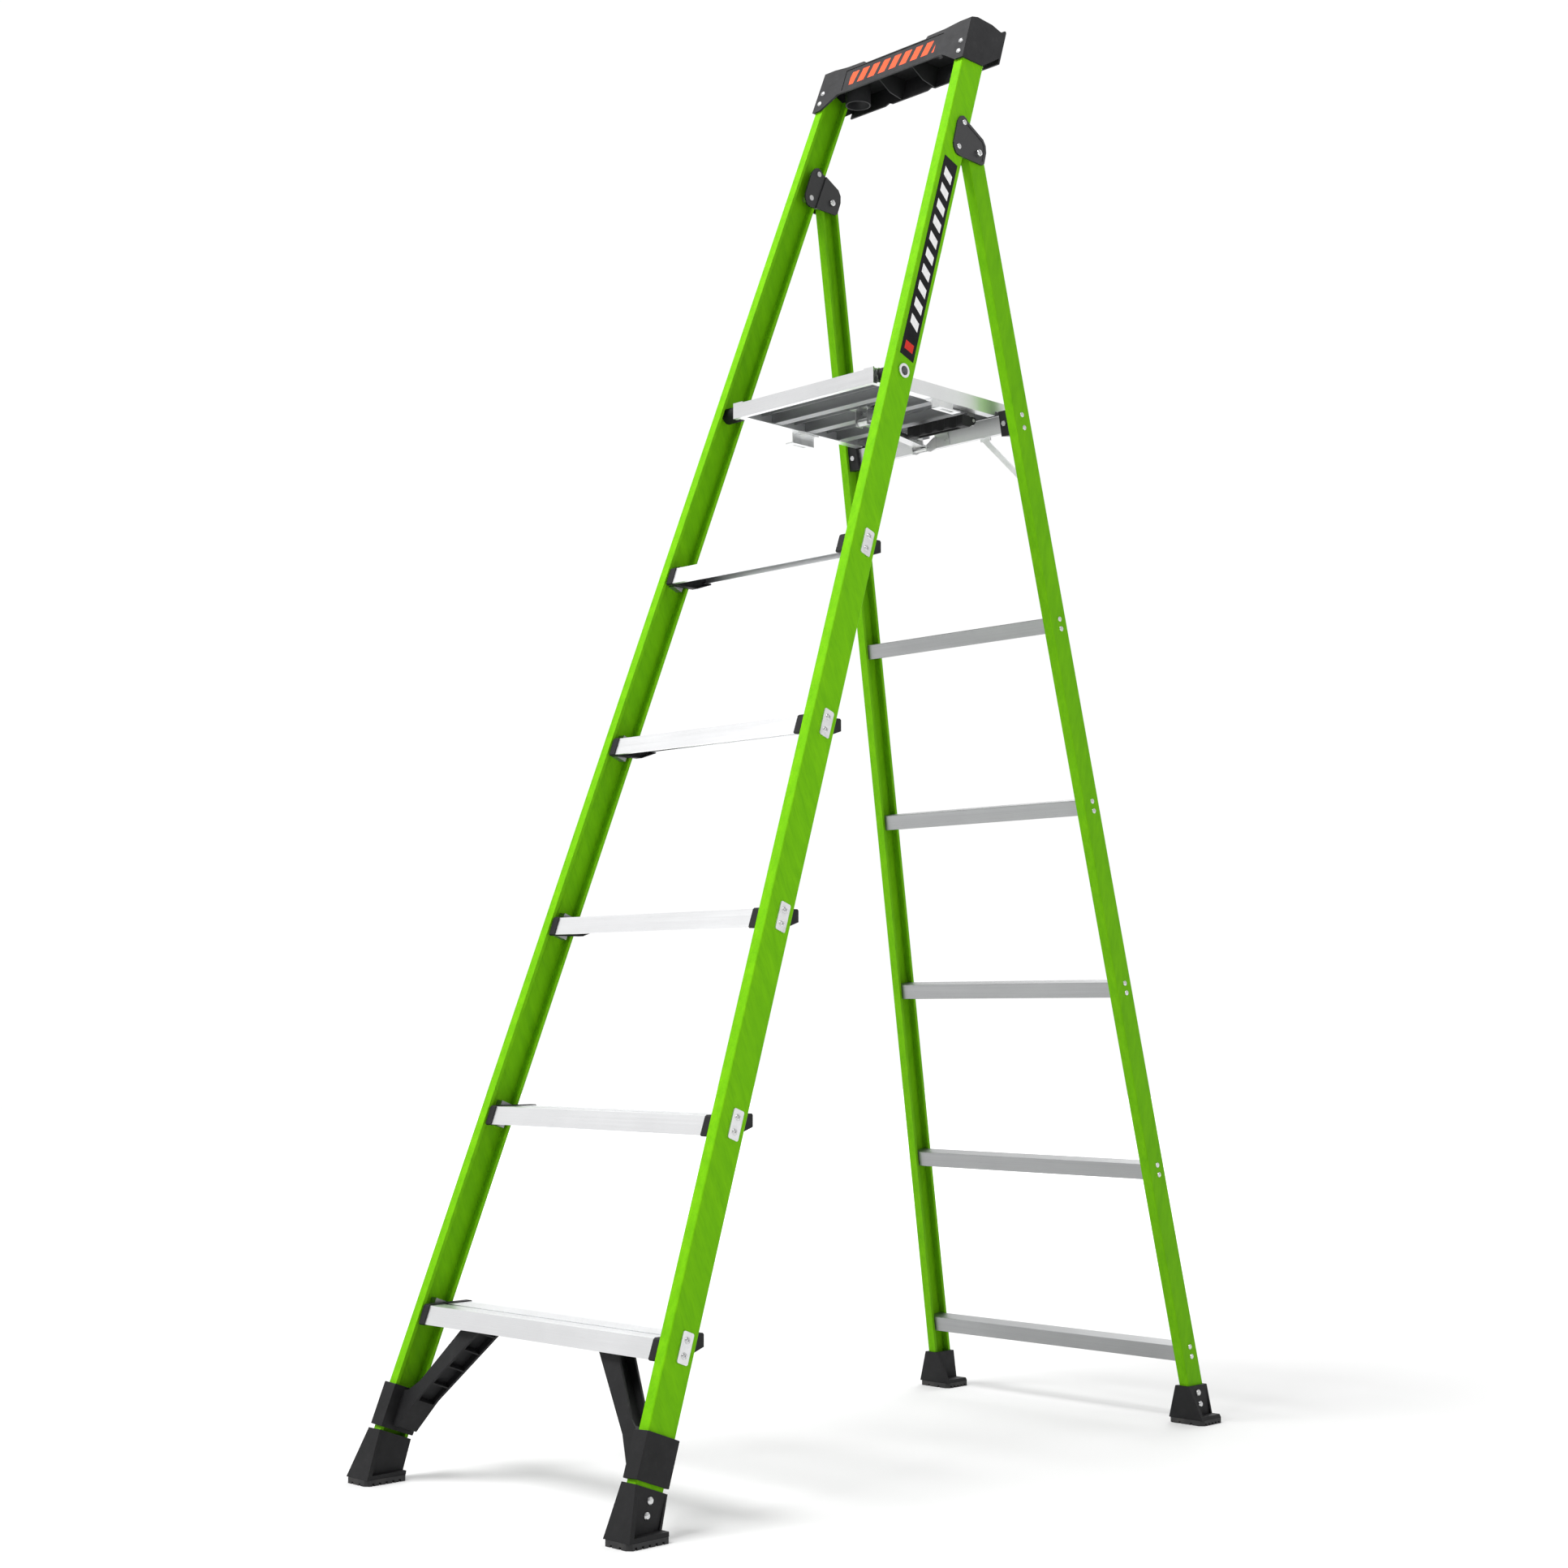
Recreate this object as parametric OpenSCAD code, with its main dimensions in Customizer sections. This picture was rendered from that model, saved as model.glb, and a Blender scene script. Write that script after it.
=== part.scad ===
// Fibreglass platform step ladder with a rear frame that folds in.
// The front rails, the rear rails and the platform are three bodies on real pins.
// X runs across the ladder, -Y faces the climber, Z is up and the floor is Z = 0.

/* [Stance] */
// Lean of the front rails from vertical, in degrees
front_lean = 20.35; // [19.5:0.05:21]
// Lean of the rear rails from vertical, in degrees
rear_lean = 11.42; // [10.8:0.02:12]
// Distance on the floor between the front faces of the front and rear rails
spread = 1335.8; // [1325:0.2:1345]
// Height of the first tread's top edge
first_step = 263.4; // [250:0.2:280]
// Rise from one tread to the next, and from the last tread to the platform
rise = 304.8; // [300:0.1:306]

/* [Front frame] */
// Half width over the front rails' webs at the floor
front_half = 308.9; // [300:0.1:315]
// Angle at which the front rails close in on each other, in degrees
front_splay = 2.9; // [2.7:0.01:3.0]
// Depth of a front rail's channel
front_depth = 54.2; // [52:0.1:58]
// Width of a front rail's flanges
front_flange = 18.9; // [17:0.1:21]
// Wall of the fibreglass channels
wall = 4; // [3:0.1:4.5]

/* [Rear frame] */
// Angle at which the rear rails close in on each other, in degrees
rear_splay = 3.03; // [2.9:0.01:3.1]
// Depth of a rear rail's channel
rear_depth = 43.3; // [41:0.1:46]
// Width of a rear rail's flanges
rear_flange = 17.9; // [16:0.1:19]
// Height along the rail of the first rung's top edge
first_rung = 136; // [125:1:150]
// Distance along the rail from one rung to the next
rung_pitch = 324.7; // [315:0.1:328]

/* [Treads] */
// Depth of a tread from its nose to its back
tread_depth = 81; // [76:1:84]
// Height of a tread's front face
tread_front = 27.9; // [24:0.1:32]
// Sheet thickness of the extruded aluminium
sheet = 2.2; // [1.8:0.1:2.6]

/* [Platform] */
// Half width of the platform
deck_half = 168; // [160:0.5:169]
// Front face of the platform, behind the foot of the front rails
deck_front = 663.3; // [660:0.1:668]
// Depth of the platform
deck_depth = 349; // [330:1:352]

/* [Hidden] */

steps = 5;
rungs = 5;
fit = 0.05;            // running clearance between a pin and its hole
gap = 0.1;             // assembly gap between parts that are fixed together
round_faces = 32;

// Colours
lime = [0.42, 0.75, 0.05];
black = [0.12, 0.12, 0.13];
silver = [0.86, 0.87, 0.88];
grey = [0.62, 0.63, 0.65];

// Soles on the floor, measured from the foot of each rail's front face
front_sole = [-3, 71];
rear_sole = [-10, 49];
front_y = -(spread + rear_sole[1] + front_sole[0]) / 2;
rear_y = front_y + spread;

// Pivot of the rear frame, in the front frame's depth and height along the rail
pivot_depth = 84.2;
pivot_along = 2396;
pivot_y = front_y + pivot_along * sin(front_lean) + pivot_depth * cos(front_lean);
pivot_z = pivot_along * cos(front_lean) - pivot_depth * sin(front_lean);
rear_pivot_depth = (pivot_y - rear_y) * cos(rear_lean) + pivot_z * sin(rear_lean);
rear_pivot_along = pivot_z * cos(rear_lean) - (pivot_y - rear_y) * sin(rear_lean);
pin_r = 4.75;

// The rear webs sit a little inside the front ones, so that they swing past the hinge plates
web_inset = 1.5;
rear_half = front_half - pivot_along * tan(front_splay) - web_inset
    + rear_pivot_along * tan(rear_splay);

// Rail ends
front_rail_start = 31;
front_rail_end = 2608;
rear_rail_start = 16;
rear_rail_past_pivot = 12;

// Platform heights
deck_top = first_step + steps * rise;
deck_side_low = deck_top - 23;
deck_back = deck_front + deck_depth;
deck_pivot_y = front_y + 688.4;
deck_pivot_z = deck_top - 9.9;
tube_r = 10;

function tread_y(k) = front_y + tan(front_lean) * (first_step + k * rise) + 4.2;
function tread_z(k) = first_step + k * rise;
function front_web(z) = front_half - z * tan(front_splay) / cos(front_lean);
function tread_half(k) = front_web(tread_z(k)) - front_flange - 2;
function rung_along(k) = first_rung + k * rung_pitch - 14;
function rear_web(s) = rear_half - s * tan(rear_splay);

// ---------- frames of reference ----------
module on_side(side) { if (side > 0) children(); else mirror([1, 0, 0]) children(); }
module both_sides() { children(); mirror([1, 0, 0]) children(); }
module in_front() { translate([0, front_y, 0]) rotate([-front_lean, 0, 0]) children(); }
module in_rear() { translate([0, rear_y, 0]) rotate([rear_lean, 0, 0]) children(); }
// Origin on the right rail's outer web, X outwards, Y to the back, Z up the rail
module at_front_rail() { in_front() translate([front_half, 0, 0]) rotate([0, -front_splay, 0]) children(); }
module at_rear_rail() { in_rear() translate([rear_half, 0, 0]) rotate([0, -rear_splay, 0]) children(); }
// Draws an outline given in (y, z) and extrudes it along X from x0 to x1
module along_x(x0, x1) { translate([x0, 0, 0]) rotate([90, 0, 90]) linear_extrude(x1 - x0) children(); }
// Cylinder along X from x0 to x1
module rod_x(x0, x1, r) { translate([x0, 0, 0]) rotate([0, 90, 0]) cylinder(h = x1 - x0, r = r, $fn = round_faces); }

// ---------- shared shapes ----------
module rounded_rect(w, h, r) {
    translate([r, 0]) square([w - 2 * r, h]);
    translate([0, r]) square([w, h - 2 * r]);
    for (x = [r, w - r], y = [r, h - r]) translate([x, y]) circle(r, $fn = round_faces);
}

// Channel section with its web on X = 0 and thickened flange lips
module channel_section(depth, flange) {
    lip = 5;
    lip_extra = 1.6;
    difference() {
        translate([-flange, 0]) {
            translate([0, 0]) square([flange / 2, depth]);
            rounded_rect(flange, depth, 2.6);
        }
        translate([-flange - 1, wall + lip_extra]) square([flange + 1 - wall, depth - 2 * (wall + lip_extra)]);
        translate([-flange + lip, wall]) square([flange - lip - wall, depth - 2 * wall]);
    }
}

// Domed head on the plane X = 0, pointing to +X
module dome_head(r, h) {
    rotate([0, 90, 0]) rotate_extrude($fn = 24)
        polygon([[0, 0], [r, 0], [r * 0.94, h * 0.4], [r * 0.7, h * 0.8], [r * 0.35, h * 0.97], [0, h]]);
}

// Rivet along X: head outside x1, tail inside x0
module rivet_x(x0, x1, shank_r, head_r, head_h, tail_r, tail_h) {
    rod_x(x0, x1, shank_r);
    translate([x1, 0, 0]) dome_head(head_r, head_h);
    rod_x(x0 - tail_h, x0, tail_r);
}

// Bolt with a hexagon head along -Y, its seat on Y = 0
module hex_bolt_y(shank_r, shank, head_r, head_h) {
    rotate([90, 0, 0]) cylinder(h = head_h, r = head_r, $fn = 6);
    rotate([-90, 0, 0]) cylinder(h = shank, r = shank_r, $fn = 24);
}

// ---------- rails ----------
step_rivet_spacing = 22;
step_plate = [21.2, 45.3];
step_plate_depth = 33;
// Middle of a tread's anchor plate, measured up the rail
function plate_along(k) = (tread_z(k) / cos(front_lean) - 1.3) / cos(front_splay);
step_rivet_r = 3;
rung_rivet_r = 2.4;
boot_rivet_r = 3.2;
front_boot_rivets_at = [[28.5, 50.2], [28.5, 70.6]];
rear_boot_rivets_at = [[19.6, 30.4], [19.6, 50.8]];
hinge_rivets_at = [[36.4, 33], [36.4, -19]];
hinge_rivet_r = 3;
beam_rivets_at = [[22, 1773], [22, 1796]];
cap_rivets_at = [[-9.5, 2565], [-9.5, 2588]];

module step_rivet_places() {
    for (k = [0:steps - 1], e = [-1, 1])
        at_front_rail() translate([0, step_plate_depth, plate_along(k) + e * step_rivet_spacing / 2]) children();
}
module hinge_rivet_places() {
    for (p = hinge_rivets_at)
        at_front_rail() translate([0, p[0], pivot_along / cos(front_splay) + p[1]]) children();
}
module rung_rivet_places() {
    for (k = [0:rungs - 1], e = [-1, 1])
        at_rear_rail() translate([0, 25, (rung_along(k) + e * 8.6) / cos(rear_splay)]) children();
}
module places_on_web(points) { for (p = points) translate([0, p[0], p[1]]) children(); }

module front_rail(side) {
    color(lime) on_side(side) difference() {
        at_front_rail() translate([0, 0, front_rail_start])
            linear_extrude(front_rail_end - front_rail_start) channel_section(front_depth, front_flange);
        step_rivet_places() rod_x(-wall - 1, 1, step_rivet_r + fit);
        hinge_rivet_places() rod_x(-wall - 1, 1, hinge_rivet_r + fit);
        at_front_rail() places_on_web(front_boot_rivets_at) rod_x(-wall - 1, 1, boot_rivet_r + fit);
        at_front_rail() for (p = cap_rivets_at)
            translate([p[0], -1, p[1]]) rotate([-90, 0, 0]) cylinder(h = wall + 3, r = 2.4 + fit, $fn = 24);
        translate([0, deck_pivot_y, deck_pivot_z]) rod_x(150, 260, tube_r + fit);
    }
}

module rear_rail(side) {
    end = rear_pivot_along / cos(rear_splay) + rear_rail_past_pivot;
    color(lime) on_side(side) difference() {
        at_rear_rail() translate([0, 0, rear_rail_start])
            linear_extrude(end - rear_rail_start) channel_section(rear_depth, rear_flange);
        rung_rivet_places() rod_x(-wall - 1, 1, rung_rivet_r + fit);
        at_rear_rail() places_on_web(rear_boot_rivets_at) rod_x(-wall - 1, 1, boot_rivet_r + fit);
        at_rear_rail() places_on_web(beam_rivets_at) rod_x(-wall - 1, 1, step_rivet_r + fit);
        translate([0, pivot_y, pivot_z]) rod_x(150, 230, bushing_r + fit);
    }
}

// ---------- treads ----------
// Long groove in a tread's top: distance from the nose, width and depth
tread_groove = [26, 9, 4.5];
module tread_section() {
    lean = tan(front_lean) * tread_front;
    back = 17;
    difference() {
        union() {
            translate([0, -sheet]) square([tread_depth, sheet]);
            translate([tread_groove[0] - 2, -tread_groove[2] - 2]) square([tread_groove[1] + 4, tread_groove[2] + 2]);
        }
        translate([tread_groove[0], -tread_groove[2]]) square([tread_groove[1], tread_groove[2] + 1]);
        for (y = [2, 8.5, 14.5, 20, 41.5, 48, 54.5, 61, 67.5]) translate([y, -0.8]) square([1.6, 1]);
    }
    polygon([[0, 0], [-lean, -tread_front], [-lean + sheet, -tread_front], [sheet, 0]]);
    polygon([[-lean, -tread_front], [-lean + 9, -tread_front], [-lean + 9, -tread_front + 1.8],
        [-lean + 1.5, -tread_front + 1.8]]);
    translate([tread_depth - sheet, -back]) square([sheet, back]);
    translate([tread_depth - 8, -back]) square([8, 1.8]);
    for (y = [55, 67]) translate([y, -9]) square([1.8, 8]);
    // thicker nose band under the top edge
    polygon([[0, 0], [4, 0], [4, -4], [0.4, -4]]);
}

module tread(k) {
    half = tread_half(k) - cap_plate - gap;
    color(silver) translate([0, tread_y(k), tread_z(k)]) along_x(-half, half) tread_section();
}

cap_plate = 3;
cap_wrap = 13;
cap_rim = 1.5;
// Outline of a tread's end cap; grow moves every side out
module cap_outline(grow) {
    lean = tan(front_lean) * tread_front;
    cut = grow * 1.5;
    polygon([[-grow - cut * 0.4, grow - cut], [-grow + cut, grow], [tread_depth + grow - cut, grow],
        [tread_depth + grow, grow - cut], [tread_depth + grow, -17 - grow], [50, -tread_front - grow],
        [-lean - grow + cut, -tread_front - grow], [-lean - grow, -tread_front - grow + cut]]);
}

module step_end_caps() {
    color(black) both_sides() for (k = [0:steps - 1]) translate([0, tread_y(k), tread_z(k)]) {
        half = tread_half(k);
        difference() {
            along_x(half - cap_wrap, half) cap_outline(cap_rim);
            along_x(half - cap_wrap - 1, half - cap_plate) cap_outline(gap);
            // slot for the bracket's tongue
            translate([half - cap_plate - 1, bracket_y[0] - 0.3, bracket_z[0] - 0.3])
                cube([cap_plate + 2, bracket_y[1] - bracket_y[0] + 0.6, bracket_z[1] - bracket_z[0] + 0.6]);
        }
    }
}

// Tongue under the tread's top, measured from the nose
bracket_y = [22, 38];
bracket_z = [-10.2, -6.8];
module step_brackets() {
    color(grey) both_sides() for (k = [0:steps - 1]) {
        difference() {
            at_front_rail() translate([-front_flange + 1.5, step_plate_depth - 10, plate_along(k) - 20])
                cube([front_flange - 1.5 - wall - gap, 20, 40]);
            at_front_rail() for (e = [-1, 1])
                translate([0, step_plate_depth, plate_along(k) + e * step_rivet_spacing / 2])
                    rod_x(-wall - 30, 0, step_rivet_r + fit);
        }
        translate([tread_half(k) - 48, tread_y(k) + bracket_y[0], tread_z(k) + bracket_z[0]])
            cube([53.2, bracket_y[1] - bracket_y[0], bracket_z[1] - bracket_z[0]]);
    }
}

plate_t = 2;
module step_anchor_plates() {
    color(silver) both_sides() difference() {
        for (k = [0:steps - 1]) at_front_rail()
            translate([0, step_plate_depth - step_plate[0] / 2, plate_along(k) - step_plate[1] / 2])
                along_x(0, plate_t) rounded_rect(step_plate[0], step_plate[1], 3.2);
        step_rivet_places() rod_x(-1, plate_t + 1, step_rivet_r + fit);
    }
}

module step_rivets() {
    tail = front_flange - 1.5 - 6;
    color(silver) both_sides() step_rivet_places() {
        rod_x(-tail, plate_t, step_rivet_r);
        translate([plate_t, 0, 0]) flower_head(5.2, 2.2);
    }
}

// Rolled rivet head with four petals around a hollow
module flower_head(r, h) {
    difference() {
        dome_head(r, h);
        rod_x(h * 0.45, h + 1, r * 0.3);
        for (a = [45:90:315]) rotate([a, 0, 0]) translate([h * 0.5, r * 0.35, -0.35]) cube([h, r, 0.7]);
    }
}

// ---------- knee braces ----------
collar_along = [92, 158];
collar_depth = [-4.5, front_depth + 4.5];
arm_depth = [15, 53];
arm_wall = 4;
module knee_brace(side) {
    color(black) on_side(side) difference() {
        union() {
            at_front_rail() translate([-front_flange - 5, collar_depth[0], collar_along[0]])
                along_x(0, front_flange + 9)
                    rounded_rect(collar_depth[1] - collar_depth[0], collar_along[1] - collar_along[0], 1.5);
            intersection() {
                in_front() difference() {
                    translate([0, arm_depth[0], 0]) rotate([90, 0, 0]) translate([0, 0, arm_depth[0] - arm_depth[1]])
                        linear_extrude(arm_depth[1] - arm_depth[0]) brace_arm_section();
                    // the H section: one clear pocket above the web, ribbed ones below it
                    arm_pocket(2, 40, 10, 190);
                    for (i = [0:4]) arm_pocket(-42, 40, 2 + 38 * i, 35.5);
                }
                translate([0, tread_y(0) - 80, 0]) cube([400, 200, tread_z(0) - sheet - 0.3]);
            }
        }
        at_front_rail() translate([-front_flange - gap, -gap, 0])
            cube([front_flange + 2 * gap, front_depth + 2 * gap, 300]);
    }
}

module brace_arm_section() {
    polygon([[291, 97], [266.5, 97], [235.3, 148], [117, 282], [163, 282], [245, 170], [266, 153.5], [291, 150]]);
}

// Pocket along the arm: off and w across it, from and length along it, measured from its lower end
module arm_pocket(off, w, from, length) {
    translate([250, arm_depth[0] + arm_wall, 147]) rotate([0, -40, 0]) translate([off, 0, from])
        cube([w, arm_depth[1] - arm_depth[0] - 2 * arm_wall, length]);
}

// ---------- boots and soles ----------
pad_h = 9;
boot_wall = 4.5;
ledge = 15;
module frustum(low, high) {
    hull() {
        translate([low[0], low[2], pad_h]) cube([low[1] - low[0], low[3] - low[2], 0.1]);
        multmatrix([[1, 0, 0, 0], [0, 1, 0, 0], [0, high[6], 1, high[4] - high[6] * high[2]], [0, 0, 0, 1]])
            translate([high[0], high[2], -0.1]) cube([high[1] - high[0], high[3] - high[2], 0.1]);
    }
}

// Front boot: low and high rims as [x0, x1, y0, y1], the high one square to the rail
module front_boot(side) {
    color(black) on_side(side) difference() {
        translate([0, front_y, 0])
            frustum([274, 328, -2, 70], [280.5, 309.5, 25, 84, 82, 0, -tan(front_lean)]);
        at_front_rail() translate([-front_flange - gap, -gap, front_rail_start - gap])
            cube([front_flange + 2 * gap, front_depth + 2 * gap, 200]);
        translate([0, front_y, 0]) {
            // flat cheeks beside the rail, above a ledge and behind the flared front wall
            intersection() {
                along_x(250, 350) polygon([[8, ledge], [95, ledge], [95, 100], [39, 100]]);
                translate([0, -front_y, 0]) at_front_rail() outside_cheeks(front_flange);
            }
            // narrow pocket behind the riveted cheek
            along_x(309, 350) polygon([[55, ledge - 0.1], [67, ledge - 0.1], [79.5, 56], [77.5, 58]]);
        }
        at_front_rail() places_on_web(front_boot_rivets_at) rod_x(-1, 40, boot_rivet_r + fit);
    }
}

// Everything further out than the cheeks that hug a rail of the given flange width
module outside_cheeks(flange) {
    translate([boot_wall, -100, -100]) cube([60, 300, 300]);
    translate([-flange - boot_wall - 60, -100, -100]) cube([60, 300, 300]);
}

module rear_boot(side) {
    color(black) on_side(side) difference() {
        translate([0, rear_y, 0])
            frustum([257, 327.5, -9, 48], [277, 306.5, -17, 35.5, 66.4, 0, 0]);
        at_rear_rail() translate([-rear_flange - gap, -gap, rear_rail_start - gap])
            cube([rear_flange + 2 * gap, rear_depth + 2 * gap, 200]);
        translate([0, rear_y, 0]) {
            intersection() {
                along_x(240, 350) polygon([[-3, ledge], [60, ledge], [60, 80], [-12, 80]]);
                translate([0, -rear_y, 0]) at_rear_rail() outside_cheeks(rear_flange);
            }
            along_x(307, 350) polygon([[16, ledge - 0.1], [43, ledge - 0.1], [34, 58], [26, 58]]);
        }
        at_rear_rail() places_on_web(rear_boot_rivets_at) rod_x(-1, 40, boot_rivet_r + fit);
    }
}

module boot_rivets() {
    rivet_x(-wall - 2, boot_wall, boot_rivet_r, 5.6, 3, 5, 1.5);
}

module front_boot_rivets() {
    color(silver) both_sides() at_front_rail() places_on_web(front_boot_rivets_at) boot_rivets();
}
module rear_boot_rivets() {
    color(silver) both_sides() at_rear_rail() places_on_web(rear_boot_rivets_at) boot_rivets();
}

// Ribbed rubber sole: x and y ranges, with the outer front corner cut off
module sole_pad(x, y) {
    cut = 7;
    grooves = 6;
    pitch = (y[1] - y[0]) / grooves;
    difference() {
        linear_extrude(pad_h - gap)
            polygon([[x[0], y[0] + cut], [x[0] + cut, y[0]], [x[1] - cut, y[0]], [x[1], y[0] + cut],
                [x[1], y[1] - 3], [x[1] - 3, y[1]], [x[0] + 3, y[1]], [x[0], y[1] - 3]]);
        for (i = [1:grooves - 1]) translate([x[0] - 1, y[0] + i * pitch - 2, -1])
            cube([x[1] - x[0] + 2, 4, 5]);
        for (i = [1:2]) translate([x[0] + i * (x[1] - x[0]) / 3 - 2, y[0] - 1, -1]) cube([4, y[1] - y[0] + 2, 4.5]);
    }
}
module front_sole_pads() {
    color(black) both_sides() translate([0, front_y, 0]) sole_pad([273, 329], front_sole);
}
module rear_sole_pads() {
    color(black) both_sides() translate([0, rear_y, 0]) sole_pad([256, 328.5], rear_sole);
}

// ---------- top cap ----------
cap_low = 2387;
cap_floor = 2449;
cap_rear_low = 2404;
holster = [-126, 945];
holster_r = 21;
tool_holes = [[96, 958, 11], [128, 958, 7.5], [62, 958, 7.5]];
tool_slot = [[-40, 22], [936, 946]];

// Side profile of the cap's shell, (y, z) behind the foot of the front rails
module cap_profile() {
    polygon([[880.6, cap_low], [911.3, 2470], [914, 2471.5], [930, 2475.5], [971, 2473.8], [992, 2468.5],
        [999, 2467.6], [1004, 2472.5], [1009, 2474], [1010.6, 2471], [985.6, cap_rear_low],
        [981.7, cap_rear_low], [985.4, 2415], [981.2, 2412.8], [938.4, cap_low]]);
}
module cap_inside() {
    polygon([[840, 2330], [900, cap_floor - 4], [995.4, cap_floor - 4], [981.7, cap_rear_low], [957, 2330]]);
}
// Slanted cut that makes the cap's ends follow the rails
module beyond_web(extra) {
    at_front_rail() translate([extra, -100, 2400]) cube([60, 300, 400]);
}

module top_cap() {
    shell = 3.4;
    color(black) difference() {
        union() {
            difference() {
                translate([0, front_y, 0]) along_x(-196, 196) cap_profile();
                both_sides() beyond_web(shell);
                // hollow under the tray, open at the bottom
                intersection() {
                    translate([0, front_y, 0]) along_x(-196, 196) cap_inside();
                    in_front() translate([-200, -gap, 2000]) cube([400, 200, 900]);
                    both_sides_within(0.1);
                }
                // tool tray sunk into the top
                translate([0, front_y, 0]) along_x(-150, 150) polygon([[922, cap_floor], [914, 2490], [1001, 2490],
                    [992, cap_floor]]);
                cap_front_cuts();
                // sunk panel across the fascia
                in_front() translate([-119, -8, 2574]) cube([238, 8 - 3.4, 46]);
                // V notches in the rear wall's lower edge
                for (x = [-84, 20]) translate([x, front_y + 1000, cap_rear_low]) rotate([90, 0, 0])
                    linear_extrude(30) polygon([[-11, -1], [0, 4.5], [11, -1]]);
            }
            translate([holster[0], front_y + holster[1], cap_rear_low])
                cylinder(h = cap_floor - cap_rear_low - 2, r = holster_r + 2.6, $fn = 48);
            // cross ribs under the tray
            for (x = [-51, 30]) translate([0, front_y, 0]) along_x(x - 1.2, x + 1.2)
                polygon([[921, cap_floor - 2], [918, 2428], [950, 2410], [983, 2405], [997, cap_floor - 2]]);
        }
        translate([holster[0], front_y + holster[1], cap_low - 5]) cylinder(h = 120, r = holster_r, $fn = 48);
        for (t = tool_holes) translate([t[0], front_y + t[1], cap_low]) cylinder(h = 120, r = t[2], $fn = 32);
        translate([tool_slot[0][0], front_y + tool_slot[1][0], cap_low])
            cube([tool_slot[0][1] - tool_slot[0][0], tool_slot[1][1] - tool_slot[1][0], 120]);
        both_sides() at_front_rail() for (p = cap_rivets_at)
            translate([p[0], -12, p[1]]) rotate([-90, 0, 0]) cylinder(h = 14, r = 2.4 + fit, $fn = 24);
    }
}

// Space between the two webs' outer faces, moved in by less
module both_sides_within(less) {
    difference() {
        translate([-196, -300, 2300]) cube([392, 900, 300]);
        both_sides() beyond_web(less);
    }
}

// Outline of the fascia's top and bottom edges, cut through the front only
module cap_front_cuts() {
    translate([0, front_y + 930, 0]) rotate([90, 0, 0]) linear_extrude(80) {
        polygon([[-165, cap_low - 30], [-165, cap_low], [-128, 2410], [128, 2410], [165, cap_low],
            [165, cap_low - 30]]);
    }
    translate([0, front_y + 930, 0]) rotate([90, 0, 0]) linear_extrude(80)
        polygon([[-200, 2500], [-157, 2500], [-157, 2470.5], [-119, 2466], [-78, 2465], [-75, 2460], [75, 2460],
            [78, 2465], [119, 2466], [157, 2470.5], [157, 2500]]);
}

module cap_rivets() {
    color(silver) both_sides() at_front_rail() for (p = cap_rivets_at)
        translate([p[0], -4.7, p[1]]) rotate([0, 0, -90])
            rivet_x(-wall - 4.7, 0, 2.4, 5, 2.2, 4, 1.2);
}

// ---------- hinge ----------
bushing_r = 8;
hinge_t = 3;
joggle = 2.2;
// Plate outline around the pivot, in (depth from the rail's front, height from the pivot)
module hinge_outline() {
    polygon([[20, 26], [24, 38], [31, 43.5], [39, 43], [44, 40], [90, 34], [99, 27], [104, 15], [105, -8],
        [101, -14], [95, -16], [41, -35], [33, -35], [25, -28], [21.5, -20]]);
}
module hinge_frame() {
    at_front_rail() translate([0, 0, pivot_along / cos(front_splay)]) children();
}

module hinge_plate_outer(side) {
    color(black) on_side(side) difference() {
        union() {
            hinge_frame() along_x(0, hinge_t) hinge_outline();
            // pressed bead inside the upper and rear edges
            hinge_frame() along_x(hinge_t - 0.5, hinge_t + 0.8)
                polygon([[46, 34.6], [88.5, 29.2], [95.3, 24], [99.2, 14], [100, -6.5], [98.4, -6.5],
                    [97.6, 13.6], [94, 23], [87.9, 27.7], [46, 33]]);
        }
        hinge_rivet_places() rod_x(-1, hinge_t + 1, hinge_rivet_r + fit);
        translate([0, pivot_y, pivot_z]) rod_x(150, 230, pin_r + fit);
    }
}

// The inner plate lies on the front flanges and steps in beside the rear rail
module hinge_plate_inner(side) {
    inner = -front_flange - hinge_t - joggle;
    color(black) on_side(side) difference() {
        union() {
            hinge_strip(0, 56.5, inner + joggle, -front_flange);
            hinge_strip(53.5, 3, inner, -front_flange);
            hinge_strip(53.5, 60, inner, -front_flange - joggle);
        }
        hinge_rivet_places() rod_x(-40, 0, hinge_rivet_r + fit);
        translate([0, pivot_y, pivot_z]) rod_x(140, 200, pin_r + fit);
    }
}
// Part of the plate between two depths, from x0 to x1
module hinge_strip(depth, width, x0, x1) {
    hinge_frame() along_x(x0, x1) intersection() {
        hinge_outline();
        translate([depth, -60]) square([width, 120]);
    }
}

module hinge_rivets() {
    color(silver) both_sides() hinge_rivet_places()
        rivet_x(-front_flange - hinge_t, hinge_t, hinge_rivet_r, 5, 2, 5, 1.6);
}

module hinge_spacers() {
    color(grey) both_sides() hinge_rivet_places() difference() {
        rod_x(-front_flange + gap, -wall - gap, 6);
        rod_x(-front_flange - 1, 0, hinge_rivet_r + fit);
    }
}

// Pin ends: over the outer plate and under the inner one
function pin_out() = front_half - pivot_along * tan(front_splay) + hinge_t + 5;
function pin_in() = front_half - pivot_along * tan(front_splay) - front_flange - hinge_t - joggle - 3;
module hinge_pins() {
    color(silver) both_sides() translate([0, pivot_y, pivot_z]) {
        rod_x(pin_in(), pin_out() - 1, pin_r);
        translate([pin_out() - 1, 0, 0]) dome_head(6, 2.2);
        translate([pin_in(), 0, 0]) mirror([1, 0, 0]) dome_head(6, 2.2);
    }
}

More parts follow.
